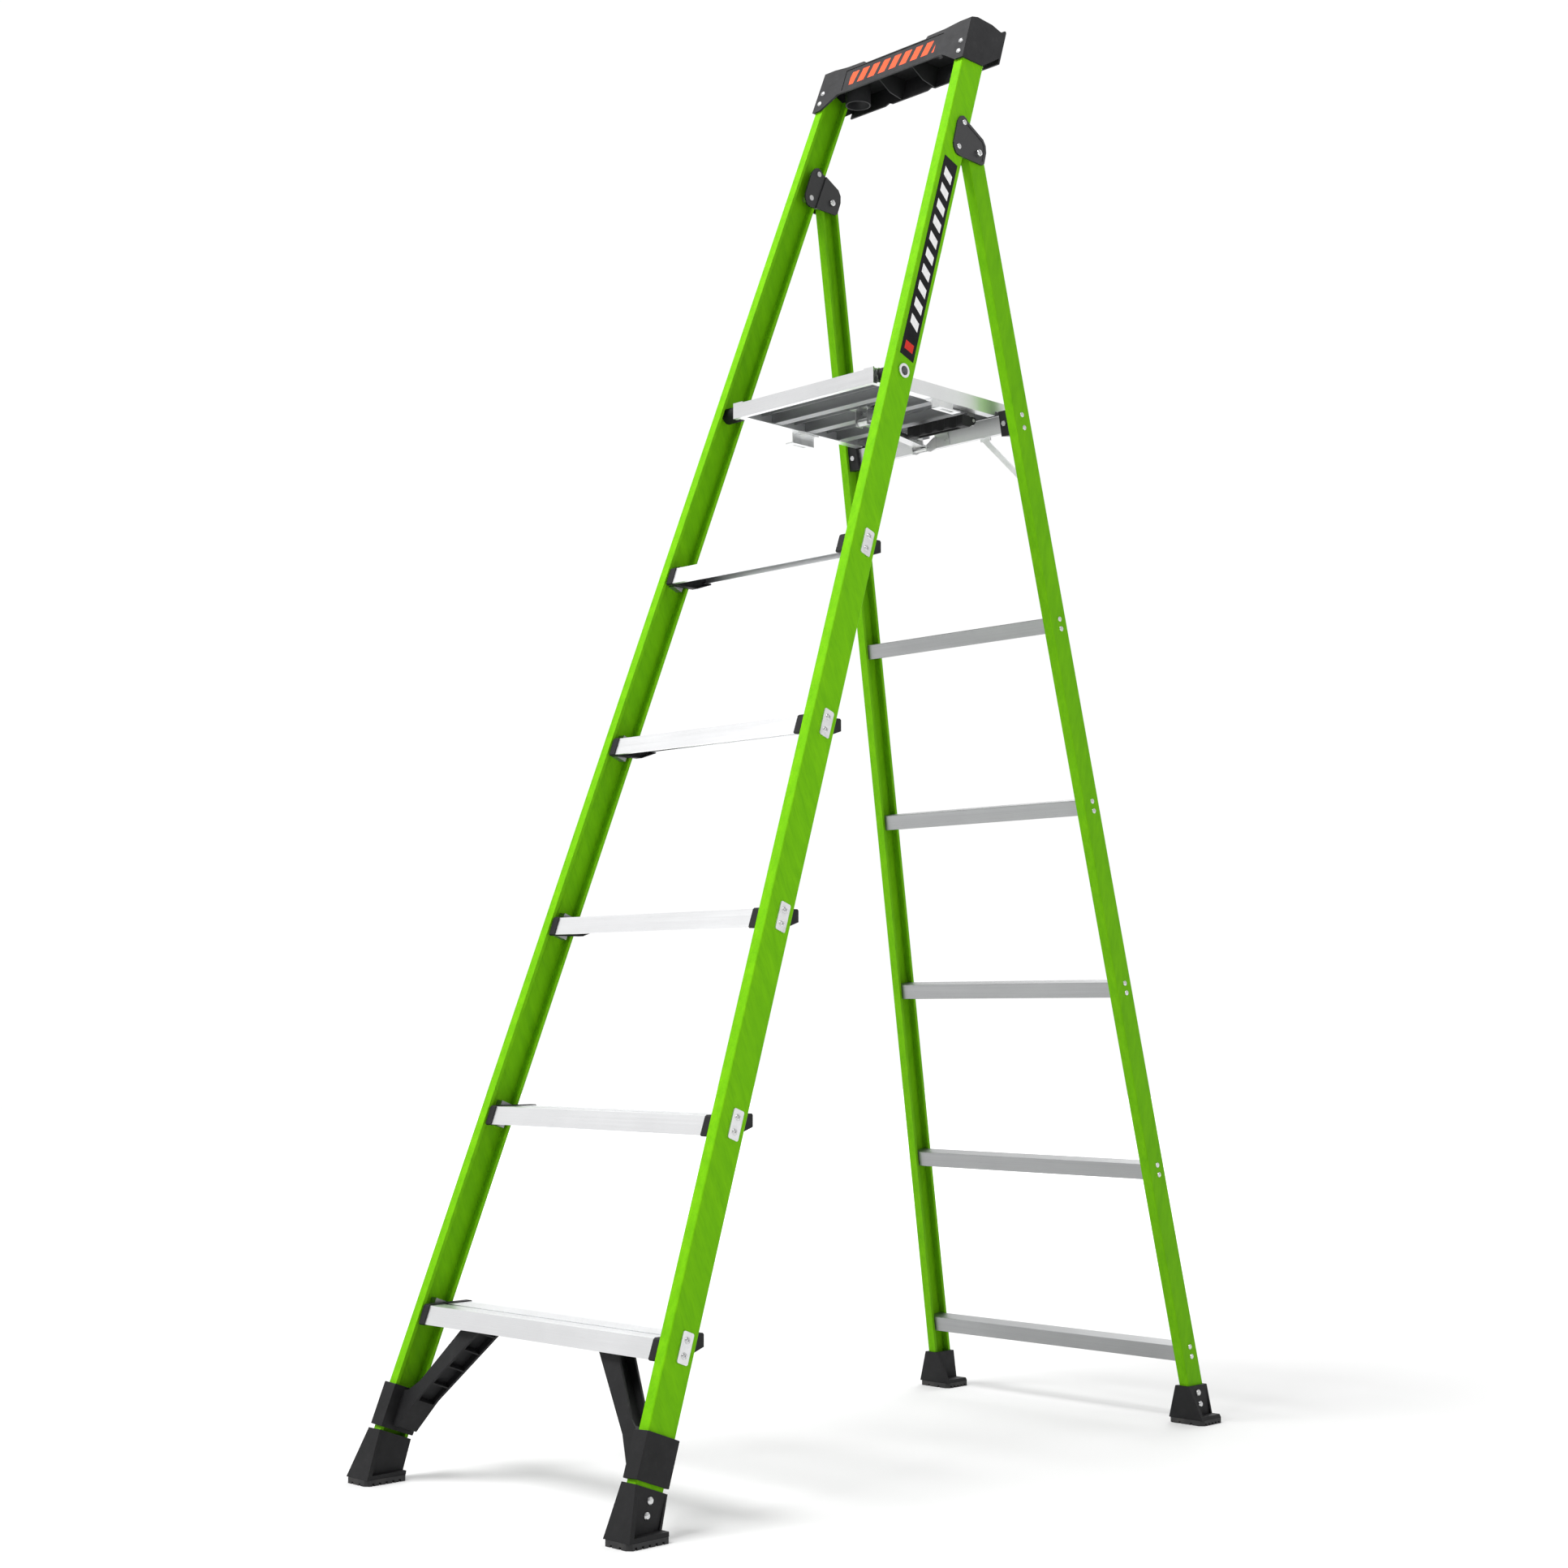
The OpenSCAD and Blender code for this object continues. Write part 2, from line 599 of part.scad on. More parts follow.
module hinge_bushings() {
    x0 = pin_in() + 3 + hinge_t + 1.4;
    x1 = pin_out() - 5 - hinge_t - 1.4;
    color(grey) both_sides() translate([0, pivot_y, pivot_z]) difference() {
        rod_x(x0, x1, bushing_r);
        rod_x(x0 - 1, x1 + 1, pin_r + fit);
    }
}

// ---------- platform pivot ----------
module platform_pivot_tubes() {
    web = front_web(deck_pivot_z);
    color(silver) both_sides() translate([0, deck_pivot_y, deck_pivot_z]) difference() {
        union() {
            rod_x(deck_half - 4.5, web + 1.5, tube_r);
            rod_x(web + 0.9, web + 2.6, tube_r + 2.2);
        }
        rod_x(deck_half - 8, web + 5, tube_r - 2);
    }
}

module platform_bushings() {
    web = front_web(deck_pivot_z);
    color(black) both_sides() translate([0, deck_pivot_y, deck_pivot_z]) difference() {
        rod_x(deck_half + 0.4, web - wall - 1.4, 14);
        rod_x(deck_half - 1, web, tube_r + fit);
    }
}

module rail_labels() {
    color([0.05, 0.05, 0.05]) both_sides() at_front_rail() translate([0, 10.5, 1935]) along_x(0, 0.6)
        square([34.5, 409]);
}

// ---------- rear frame ----------
rung_depth = [6.9, 36];
rung_height = 27.3;
rung_wall = 2;
module rear_rung(k) {
    half = rear_web(rung_along(k)) - wall - 1.4;
    d = rung_depth[1] - rung_depth[0];
    color(silver) in_rear() translate([0, rung_depth[0], rung_along(k) - rung_height / 2]) along_x(-half, half)
        difference() {
            rounded_rect(d, rung_height, 1.2);
            translate([rung_wall, rung_wall]) square([d - 2 * rung_wall, rung_height - 2 * rung_wall]);
        }
}

module rung_end_plugs() {
    d = rung_depth[1] - rung_depth[0];
    inset = rung_wall + gap;
    color(grey) both_sides() difference() {
        for (k = [0:rungs - 1]) in_rear() {
            half = rear_web(rung_along(k)) - wall - 1.2;
            translate([half - 34, rung_depth[0] + inset, rung_along(k) - rung_height / 2 + inset])
                cube([34, d - 2 * inset, rung_height - 2 * inset]);
        }
        rung_rivet_places() rod_x(-60, 0, rung_rivet_r + fit);
    }
}

module rung_rivets() {
    color(silver) both_sides() rung_rivet_places() {
        rod_x(-wall - 9, 0, rung_rivet_r);
        dome_head(4.6, 2);
    }
}

beam_along = [1768.5, 1799];
beam_depth = [13, 36];
beam_half = 176;
beam_t = 2.5;
latch_x = 14;
module rear_beam() {
    h = beam_along[1] - beam_along[0];
    d = beam_depth[1] - beam_depth[0];
    color(silver) in_rear() difference() {
        translate([0, beam_depth[0], beam_along[0]]) along_x(-beam_half, beam_half) {
            square([beam_t, h]);
            square([d, beam_t]);
            translate([0, h - beam_t]) square([d, beam_t]);
            translate([d - beam_t, 0]) square([beam_t, 8]);
            translate([d - beam_t, h - 8]) square([beam_t, 8]);
        }
        // gap through which the latch arm lifts out
        translate([-latch_x - 2, beam_depth[0] - 1, beam_along[0] + 8]) cube([2 * latch_x + 4, d + 2, h]);
    }
}

beam_bolt_x = 182;
module beam_end_brackets() {
    h = [1762, 1806];
    d = [5.8, 37.5];
    mid = (beam_along[0] + beam_along[1]) / 2;
    color(black) both_sides() difference() {
        intersection() {
            in_rear() translate([172, d[0], h[0]]) cube([50, d[1] - d[0], h[1] - h[0]]);
            at_rear_rail() translate([-100, 0, 1700]) cube([100 - wall - gap, 60, 200]);
        }
        in_rear() translate([150, beam_depth[0] - gap, beam_along[0] - gap])
            cube([beam_half + gap - 150, beam_depth[1] - beam_depth[0] + 2 * gap,
                beam_along[1] - beam_along[0] + 2 * gap]);
        // hollowed from behind between its front plate and its end plate
        in_rear() translate([180, d[0] + 9, h[0] + 5]) cube([16, 40, h[1] - h[0] - 10]);
        in_rear() translate([beam_bolt_x, 0, mid]) rotate([-90, 0, 0]) cylinder(h = 20, r = 3 + fit, $fn = 24);
        at_rear_rail() places_on_web(beam_rivets_at) rod_x(-40, 0, step_rivet_r + fit);
    }
}

module beam_fasteners() {
    mid = (beam_along[0] + beam_along[1]) / 2;
    color(silver) both_sides() {
        in_rear() translate([beam_bolt_x, 5.8, mid]) hex_bolt_y(3, 7, 5, 3);
        at_rear_rail() places_on_web(beam_rivets_at) {
            rod_x(-wall - 7, 0, step_rivet_r);
            dome_head(4.6, 2);
        }
    }
}

// Flat braces from the beam's underside out to the rear rails
module beam_braces() {
    w = 9;
    t = 3;
    start = [122, beam_along[0] - 7];
    reach = rear_web(1672) - wall - 0.6;
    low = start[1] - 1.12 * (reach - start[0]);
    color(silver) both_sides() in_rear() translate([0, 22, 0]) rotate([90, 0, 0]) linear_extrude(t) {
        translate([start[0] - w, start[1]]) square([2.5 * w, 6.8]);
        polygon([[start[0] - w / 2, start[1]], [start[0] + w, start[1]], [reach - 2, low + w],
            [reach - 2, low - w / 2]]);
        translate([reach - 4, low - w - 8]) square([4, 28]);
    }
}

// ---------- platform ----------
side_flange = 22;
plank_count = 4;
plank_first = deck_front + 12;
plank_pitch = (deck_back - plank_first) / plank_count;

// The part of the platform that sits over the rear beam is cut back
module over_beam() {
    translate([-200, front_y + deck_back - 32, deck_side_low - 20]) cube([400, 60, 20 + 8.5]);
}

module plank_section() {
    w = plank_pitch - 0.3;
    difference() {
        union() {
            translate([0, -sheet]) square([w, sheet]);
            square_down(0, 2, 20.8);
            square_down(w - 2, 2, 20.8);
            for (y = [w / 3, 2 * w / 3]) square_down(y - 1, 2, 9);
            translate([0, -20.8]) square([9, 2]);
            translate([w - 9, -20.8]) square([9, 2]);
        }
        for (y = [5:7:w - 5]) translate([y, -0.7]) square([2, 1]);
    }
}
module square_down(y, w, h) { translate([y, -h]) square([w, h]); }

module platform_planks() {
    color(silver) difference() {
        for (i = [0:plank_count - 1]) translate([0, front_y + plank_first + i * plank_pitch, deck_top])
            along_x(-deck_half + 3.2, deck_half - 3.2) plank_section();
        over_beam();
        // clear of the side channels' top flanges, the pivot tubes and the tabs' rivets
        both_sides() translate([deck_half - side_flange - 0.4, front_y + deck_front, deck_top - 0.25])
            cube([side_flange, deck_depth + 10, 2]);
        both_sides() tab_rivet_places() cylinder(h = 7, r = 4.8, center = true, $fn = 24);
        translate([0, deck_pivot_y, deck_pivot_z]) both_sides() rod_x(deck_half - 14, deck_half, tube_r + 3);
    }
}

module platform_fascia() {
    low = deck_top - 26;
    color(silver) translate([0, front_y + deck_front, 0]) {
        along_x(-deck_half, deck_half) {
            translate([0, low]) square([2.4, deck_top - low]);
            translate([0, deck_top - sheet]) square([11.8, sheet]);
            translate([0, low]) square([9, 2]);
            translate([9.6, deck_top - 12]) square([2.2, 12]);
        }
        both_sides() translate([deck_half - side_flange, 0, deck_top - 1]) cube([side_flange, 2.4, 3]);
    }
}

module platform_side(side) {
    y0 = deck_front + 12;
    color(silver) on_side(side) difference() {
        translate([0, front_y, 0]) {
            translate([deck_half - 3, y0, deck_side_low]) cube([3, deck_back - y0, deck_top + 2 - deck_side_low]);
            translate([deck_half - side_flange, y0, deck_top + gap]) cube([side_flange, deck_back - y0, 2 - gap]);
            translate([deck_half - 17, y0, deck_side_low]) cube([17, deck_back - y0, 2]);
        }
        over_beam();
        translate([0, deck_pivot_y, deck_pivot_z]) rod_x(deck_half - 6, deck_half + 2, tube_r + fit);
        tab_rivet_places() cylinder(h = 20, r = 2 + fit, center = true, $fn = 24);
    }
}

// Bent sheet tabs with a slot for a tool tether, riveted under the side channels
tab_y = [812, 866];
tab_drop = 19;
tab_t = 2;
tab_slot = [30, 8];
tab_reach = 19;
module tab_rivet_places() {
    for (y = [tab_y[0] + 10, tab_y[1] - 10]) translate([deck_half - 9, front_y + y, deck_side_low]) children();
}
module tether_tabs() {
    w = tab_y[1] - tab_y[0];
    color(silver) both_sides() difference() {
        translate([deck_half, front_y + tab_y[0], deck_side_low - tab_t]) {
            translate([-15, 0, 0]) cube([15, w, tab_t - gap]);
            translate([-tab_t, 0, -tab_drop + tab_t]) cube([tab_t, w, tab_drop - gap]);
            translate([-tab_t, 0, -tab_drop + tab_t]) cube([tab_reach, w, tab_t]);
        }
        translate([deck_half + 5, front_y + (tab_y[0] + tab_y[1] - tab_slot[0]) / 2, deck_side_low - tab_drop - 5])
            cube([tab_slot[1], tab_slot[0], 8]);
        tab_rivet_places() cylinder(h = 20, r = 2 + fit, center = true, $fn = 24);
    }
}

module platform_rivets() {
    color(silver) both_sides() tab_rivet_places() {
        translate([0, 0, -tab_t]) cylinder(h = tab_t + 2, r = 2, $fn = 24);
        translate([0, 0, 2]) cylinder(h = 1.2, r = 3.6, $fn = 24);
        translate([0, 0, -tab_t]) rotate([0, 90, 0]) dome_head(3.6, 1.6);
    }
}

// ---------- latch and handle ----------
latch_pin = [824, deck_top - 32];
latch_tip = [975, deck_top - 50];
latch_r = 3;
module latch_bracket() {
    y = latch_pin[0];
    color(silver) translate([0, front_y, 0]) {
        translate([-20, y - 18, deck_top - 11.2]) cube([40, 34, 2]);
        for (x = [-15, 13]) translate([x, y - 9, latch_pin[1] - 8])
            cube([2, 18, deck_top - 10 - latch_pin[1] + 7.8]);
        translate([0, y, latch_pin[1]]) rod_x(-18, 18, latch_r);
    }
}

module latch_arm() {
    y = latch_pin[0];
    run = latch_tip[0] - y;
    drop = latch_tip[1] - latch_pin[1];
    slope = atan(drop / run);
    length = norm([run, drop]);
    color(silver) translate([0, front_y + y, latch_pin[1]]) rotate([slope, 0, 0]) difference() {
        union() {
            rod_x(-12.4, 12.4, 7);
            intersection() {
                translate([-10, 0, -3]) cube([20, length + 10, 4]);
                union() {
                    translate([-10, 0, -4]) cube([20, length, 8]);
                    translate([0, length, -4]) cylinder(h = 8, r = 10, $fn = 32);
                }
            }
            // stop lip that drops behind the keeper's pin
            translate([-7, length + 4.5, -9]) cube([14, 3, 8]);
            translate([-10, 20, 0.5]) cube([2, length - 30, 5]);
            translate([8, 20, 0.5]) cube([2, length - 30, 5]);
        }
        rod_x(-20, 20, latch_r + fit);
    }
}

// Keeper on the beam: two ears and the pin that the latch arm lies on
function to_rear(y, z) = [(y - spread) * cos(rear_lean) + z * sin(rear_lean),
    z * cos(rear_lean) - (y - spread) * sin(rear_lean)];
module latch_keeper() {
    pin = to_rear(latch_tip[0] - 1, latch_tip[1] - 6.6);
    back = beam_depth[0] - gap;
    color(silver) in_rear() {
        for (x = [-latch_x - 16, latch_x + 2]) translate([x, back - 2, beam_along[0] + 1])
            cube([x < 0 ? 14 : 32, 2, 26]);
        for (x = [-latch_x - 4, latch_x + 2]) along_x(x, x + 2)
            polygon([[pin[0] - 6, pin[1] - 5], [pin[0] - 6, pin[1] + 5], [back - 5, beam_along[0] + 20],
                [back, beam_along[0] + 20], [back, beam_along[0] + 1], [pin[0] + 5, pin[1] - 6]]);
        translate([0, pin[0], pin[1]]) rod_x(-latch_x - 5, latch_x + 5, 3);
    }
}

handle_pin = [950, deck_top - 33];
handle_x = [22, 150];
module handle_hangers() {
    y = handle_pin[0];
    color(silver) translate([0, front_y, 0]) {
        for (x = [handle_x[0] + 8, handle_x[1] - 14]) {
            translate([x - 6, y - 16, deck_top - 11.2]) cube([18, 26, 2]);
            translate([x, y - 8, handle_pin[1] - 7]) cube([2, 16, deck_top - 10 - handle_pin[1] + 6.8]);
        }
        translate([0, y, handle_pin[1]]) rod_x(handle_x[0] - 2, handle_x[1] - 6, latch_r);
    }
}

// Moulded grip bar on two arms, with finger scallops along its front
module release_handle() {
    arms = [handle_x[0] + 1, handle_x[0] + 11, handle_x[1] - 26, handle_x[1] - 11.5];
    grip = [-38, -16];
    color(black) translate([0, front_y + handle_pin[0], handle_pin[1]]) difference() {
        union() {
            along_x(handle_x[0], handle_x[1]) translate([grip[0], -16]) rounded_rect(grip[1] - grip[0], 20, 4);
            for (x = arms) along_x(x, x + 5) polygon([[-20, 4], [-2, 6.5], [5, 5], [6.5, -2], [3, -6.4], [-20, -16]]);
        }
        rod_x(0, 200, latch_r + fit);
        for (i = [0:3]) translate([handle_x[0] + 22 + i * 28, grip[0] - 9, -20]) cylinder(h = 40, r = 13, $fn = 32);
        translate([handle_x[0] + 16, grip[0] + 6, -20]) cube([handle_x[1] - handle_x[0] - 32, 10, 12]);
    }
}

front_rail(-1);  // front_rail_left
front_rail(1);  // front_rail_right
tread(0);  // step_1
tread(1);  // step_2
tread(2);  // step_3
tread(3);  // step_4
tread(4);  // step_5
step_end_caps();
step_brackets();
step_anchor_plates();
step_rivets();
knee_brace(-1);  // knee_brace_left
knee_brace(1);  // knee_brace_right
front_boot(-1);  // front_boot_left
front_boot(1);  // front_boot_right
front_sole_pads();
front_boot_rivets();
top_cap();
cap_rivets();
hinge_plate_outer(-1);  // hinge_plate_outer_left
hinge_plate_outer(1);  // hinge_plate_outer_right
hinge_plate_inner(-1);  // hinge_plate_inner_left
hinge_plate_inner(1);  // hinge_plate_inner_right
hinge_rivets();
hinge_spacers();
hinge_pins();
platform_pivot_tubes();
platform_bushings();
rail_labels();
rear_rail(-1);  // rear_rail_left
rear_rail(1);  // rear_rail_right
rear_rung(0);  // rear_rung_1
rear_rung(1);  // rear_rung_2
rear_rung(2);  // rear_rung_3
rear_rung(3);  // rear_rung_4
rear_rung(4);  // rear_rung_5
rung_end_plugs();
rung_rivets();
rear_boot(-1);  // rear_boot_left
rear_boot(1);  // rear_boot_right
rear_sole_pads();
rear_boot_rivets();
hinge_bushings();
rear_beam();
beam_end_brackets();
beam_fasteners();
beam_braces();
latch_keeper();
platform_planks();
platform_fascia();
platform_side(-1);  // platform_side_left
platform_side(1);  // platform_side_right
tether_tabs();
latch_bracket();
latch_arm();
handle_hangers();
release_handle();
platform_rivets();
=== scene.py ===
import bpy
import math
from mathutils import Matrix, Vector

# Looks of the platform step ladder: materials, floor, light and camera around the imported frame.
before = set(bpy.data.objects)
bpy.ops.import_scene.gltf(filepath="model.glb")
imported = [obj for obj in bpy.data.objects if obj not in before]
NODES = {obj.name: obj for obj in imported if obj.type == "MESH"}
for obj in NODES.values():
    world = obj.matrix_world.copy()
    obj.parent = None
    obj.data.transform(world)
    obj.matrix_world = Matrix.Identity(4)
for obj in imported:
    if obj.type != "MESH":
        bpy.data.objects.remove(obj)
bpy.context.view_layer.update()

FRONT_LEAN = math.radians(20.35)
REAR_LEAN = math.radians(11.42)
FOOT = 0.6909  # from the origin to the foot of the front rails' front faces


# ---------------------------------------------------------------- shader helpers
def rgba(value):
    """A colour tuple with its alpha; a linked socket passes through."""
    return (*value, 1) if isinstance(value, tuple) else value


class Shader:
    """A node material with a Principled surface; its inputs are set on the sockets or linked."""

    def __init__(self, name, **sockets):
        self.mat = bpy.data.materials.new(name)
        self.mat.use_nodes = True
        self.tree = self.mat.node_tree
        self.bsdf = self.tree.nodes["Principled BSDF"]
        for key, value in sockets.items():
            self.bsdf.inputs[key.replace("_", " ")].default_value = value
        self.coords = self.node("ShaderNodeTexCoord").outputs["Object"]

    def node(self, kind, inputs=None, **props):
        n = self.tree.nodes.new(kind)
        for key, value in props.items():
            setattr(n, key, value)
        for key, value in (inputs or {}).items():
            if hasattr(value, "is_linked"):
                self.tree.links.new(value, n.inputs[key])
            else:
                n.inputs[key].default_value = value
        return n

    def mapped(self, scale, turn=(0, 0, 0)):
        """Object coordinates turned first, then scaled."""
        turned = self.node("ShaderNodeMapping", {"Vector": self.coords, "Rotation": turn})
        return self.node("ShaderNodeMapping", {"Vector": turned.outputs[0], "Scale": scale}).outputs[0]

    def noise(self, scale, detail=2.0, rough=0.5, vector=None):
        return self.node("ShaderNodeTexNoise", {"Vector": vector or self.coords, "Scale": scale,
                                                "Detail": detail, "Roughness": rough}).outputs["Fac"]

    def voronoi(self, scale, vector=None):
        return self.node("ShaderNodeTexVoronoi", {"Vector": vector or self.coords,
                                                  "Scale": scale}).outputs["Distance"]

    def ramp(self, fac, *stops):
        n = self.node("ShaderNodeValToRGB", {"Fac": fac})
        ramp = n.color_ramp
        while len(ramp.elements) < len(stops):
            ramp.elements.new(0.5)
        for element, (pos, colour) in zip(ramp.elements, stops):
            element.position = pos
            element.color = rgba(colour if isinstance(colour, tuple) else (colour,) * 3)
        return n.outputs["Color"]

    def mix(self, fac, a, b):
        """Blends two colours; sockets 0, 6 and 7 are the factor and the colours."""
        return self.node("ShaderNodeMix", {0: fac, 6: rgba(a), 7: rgba(b)}, data_type="RGBA").outputs[2]

    def math(self, op, a, b=0.0):
        return self.node("ShaderNodeMath", {0: a, 1: b}, operation=op).outputs[0]

    def remap(self, value, low, high, to_low, to_high):
        return self.node("ShaderNodeMapRange", {"Value": value, "From Min": low, "From Max": high,
                                                "To Min": to_low, "To Max": to_high}).outputs[0]

    def dot(self, direction, shift=0.0):
        """Object coordinates measured along a direction, in metres."""
        n = self.node("ShaderNodeVectorMath", {0: self.coords, 1: direction}, operation="DOT_PRODUCT")
        return self.math("ADD", n.outputs["Value"], shift)

    def within(self, value, low, high):
        above, below = self.math("GREATER_THAN", value, low), self.math("LESS_THAN", value, high)
        return self.math("MULTIPLY", above, below)

    def bump(self, height, strength, distance, normal=None):
        inputs = {"Height": height, "Strength": strength, "Distance": distance}
        if normal:
            inputs["Normal"] = normal
        return self.node("ShaderNodeBump", inputs).outputs[0]

    def set(self, **links):
        for key, value in links.items():
            self.tree.links.new(value, self.bsdf.inputs[key.replace("_", " ")])
        return self


# ---------------------------------------------------------------- materials
def fibreglass(name, lean, painted_shade=1.0):
    """Lime fibreglass: strands run along the rail, with a mottled glass veil just under the gloss. A factor
    below 1 darkens every colour as painted shade.
    """
    s = Shader(name, Metallic=0.0, IOR=1.3, Specular_IOR_Level=0.09)
    along = (lean, 0, 0)
    strands = s.noise(1.0, 4, 0.6, s.mapped((420, 420, 9), along))
    veil = s.noise(1.0, 3, 0.6, s.mapped((70, 70, 14), along))
    broad = s.noise(7.0, 2, 0.5)
    specks = s.voronoi(1.0, s.mapped((260, 260, 40), along))
    low, mid, high, strand = ((0.112 * painted_shade, 0.370 * painted_shade, 0.003), (0.138 * painted_shade, 0.425 * painted_shade, 0.003),
                              (0.172 * painted_shade, 0.490 * painted_shade, 0.004), (0.190 * painted_shade, 0.520 * painted_shade, 0.006))
    base = s.ramp(veil, (0.25, low), (0.5, mid), (0.78, high))
    streaked = s.mix(s.remap(strands, 0.35, 0.7, 0.0, 0.34), base, strand)
    dark = s.mix(s.remap(specks, 0.10, 0.42, 0.2, 0.0), streaked, (0.060, 0.235, 0.004))
    tint = s.mix(s.remap(broad, 0.3, 0.75, 0.0, 0.22), dark, (0.105, 0.36, 0.005))
    rough = s.remap(veil, 0.3, 0.75, 0.42, 0.58)
    normal = s.bump(strands, 0.12, 0.0004)
    return s.set(Base_Color=tint, Roughness=rough, Normal=s.bump(veil, 0.08, 0.0008, normal)).mat


def extruded(name, colour, rough=(0.30, 0.46)):
    """Mill-finish aluminium: fine die lines along the extrusion, faint handling marks."""
    s = Shader(name, Metallic=1.0)
    lines = s.noise(1.0, 5, 0.7, s.mapped((3, 900, 900)))
    cloud = s.noise(9.0, 3, 0.55)
    scuff = s.noise(1.0, 4, 0.75, s.mapped((60, 240, 240)))
    base = s.mix(s.remap(cloud, 0.3, 0.72, 0.0, 1.0), tuple(c * 0.93 for c in colour), colour)
    lined = s.mix(s.remap(lines, 0.35, 0.7, 0.22, 0.0), base, tuple(c * 0.72 for c in colour))
    marked = s.mix(s.remap(scuff, 0.60, 0.78, 0.0, 0.28), lined, tuple(c * 0.62 for c in colour))
    return s.set(Base_Color=marked, Roughness=s.remap(lines, 0.3, 0.7, rough[1], rough[0]),
                 Normal=s.bump(lines, 0.10, 0.0003)).mat


def moulded(name, colour, grain=1500):
    """Moulded plastic with a spark-eroded grain, light dust and rubbed patches."""
    s = Shader(name, Metallic=0.0, IOR=1.32)
    pits = s.voronoi(grain)
    cloud = s.noise(14.0, 4, 0.6)
    rub = s.noise(46.0, 5, 0.7)
    base = s.mix(s.remap(cloud, 0.32, 0.7, 0.0, 1.0),
                 tuple(c * 0.8 for c in colour), tuple(c * 1.2 for c in colour))
    worn = s.mix(s.remap(rub, 0.58, 0.80, 0.0, 0.35), base, tuple(min(1, c * 1.9 + 0.005) for c in colour))
    return s.set(Base_Color=worn, Roughness=s.remap(rub, 0.3, 0.72, 0.68, 0.5),
                 Normal=s.bump(pits, 0.22, 0.0002))


def coated(name, colour):
    """Powder-coated steel: orange peel and a few chips."""
    s = Shader(name, Metallic=0.0, IOR=1.5, Coat_Weight=0.15, Coat_Roughness=0.3)
    peel = s.noise(650, 2, 0.5)
    wear = s.noise(60, 6, 0.75)
    chipped = s.mix(s.remap(wear, 0.68, 0.76, 0.0, 0.5), colour, (0.22, 0.22, 0.23))
    return s.set(Base_Color=chipped, Roughness=s.remap(peel, 0.3, 0.7, 0.36, 0.5),
                 Normal=s.bump(peel, 0.18, 0.0004)).mat


def zinc(name, colour, rough=(0.22, 0.42)):
    """Bright zinc plate with passivation clouds and fine scratches."""
    s = Shader(name, Metallic=1.0)
    cloud = s.noise(38, 4, 0.6)
    scratch = s.noise(1.0, 5, 0.8, s.mapped((900, 60, 500), (0.3, 0.5, 0.2)))
    tint = s.ramp(cloud, (0.3, tuple(c * 0.86 for c in colour)), (0.55, colour),
                  (0.8, (colour[0], colour[1] * 0.985, colour[2] * 0.93)))
    scratched = s.mix(s.remap(scratch, 0.6, 0.75, 0.0, 0.3), tint, tuple(c * 0.6 for c in colour))
    return s.set(Base_Color=scratched, Roughness=s.remap(cloud, 0.3, 0.7, rough[0], rough[1]),
                 Normal=s.bump(scratch, 0.08, 0.0002)).mat


def rubber(name):
    """Matt rubber with pale floor dust."""
    s = Shader(name, Metallic=0.0, IOR=1.5)
    fine = s.noise(900, 3, 0.6)
    dust = s.noise(26, 5, 0.7)
    base = s.mix(s.remap(dust, 0.5, 0.8, 0.0, 0.6), (0.016, 0.016, 0.017), (0.085, 0.08, 0.072))
    return s.set(Base_Color=base, Roughness=s.remap(dust, 0.3, 0.8, 0.62, 0.9),
                 Normal=s.bump(fine, 0.3, 0.0003)).mat


def rail_axes(s):
    """Depth behind the front rails' front faces, and height along them, in metres."""
    c, t = math.cos(FRONT_LEAN), math.sin(FRONT_LEAN)
    return s.dot((0, c, -t), FOOT * c), s.dot((0, t, c), FOOT * t)


def slanted_bars(s, along, across, slant, pitch, share):
    """1 inside a row of plain slanted bars that march along one axis and fill a share of each pitch."""
    lean = s.math("ADD", along, s.math("MULTIPLY", across, slant))
    return s.math("LESS_THAN", s.math("FRACT", s.math("DIVIDE", lean, pitch)), share)


def label_film(name):
    """Black film with a row of plain white bars and one red mark, no lettering."""
    s = Shader(name, Metallic=0.0, IOR=1.3, Specular_IOR_Level=0.2)
    depth, along = rail_axes(s)
    wear = s.noise(160, 5, 0.7)
    cloud = s.noise(20, 3, 0.6)
    black = s.mix(s.remap(cloud, 0.3, 0.7, 0.0, 1.0), (0.004, 0.004, 0.005), (0.012, 0.012, 0.013))
    pitch, share = 0.034, 0.52
    column = s.within(depth, 0.0175, 0.0385)
    bars = s.math("MULTIPLY", slanted_bars(s, along, depth, 0.45, pitch, share), column)
    white = s.math("MULTIPLY", bars, s.within(along, 1.985, 2.325))
    red = s.math("MULTIPLY", column, s.within(along, 1.946, 1.962))
    fade = s.remap(wear, 0.30, 0.5, 0.82, 1.0)
    printed = s.mix(s.math("MULTIPLY", white, fade), black, (0.78, 0.78, 0.78))
    marked = s.mix(s.math("MULTIPLY", red, fade), printed, (0.55, 0.03, 0.02))
    return s.set(Base_Color=marked, Roughness=s.remap(wear, 0.3, 0.7, 0.28, 0.45),
                 Normal=s.bump(cloud, 0.05, 0.0004)).mat


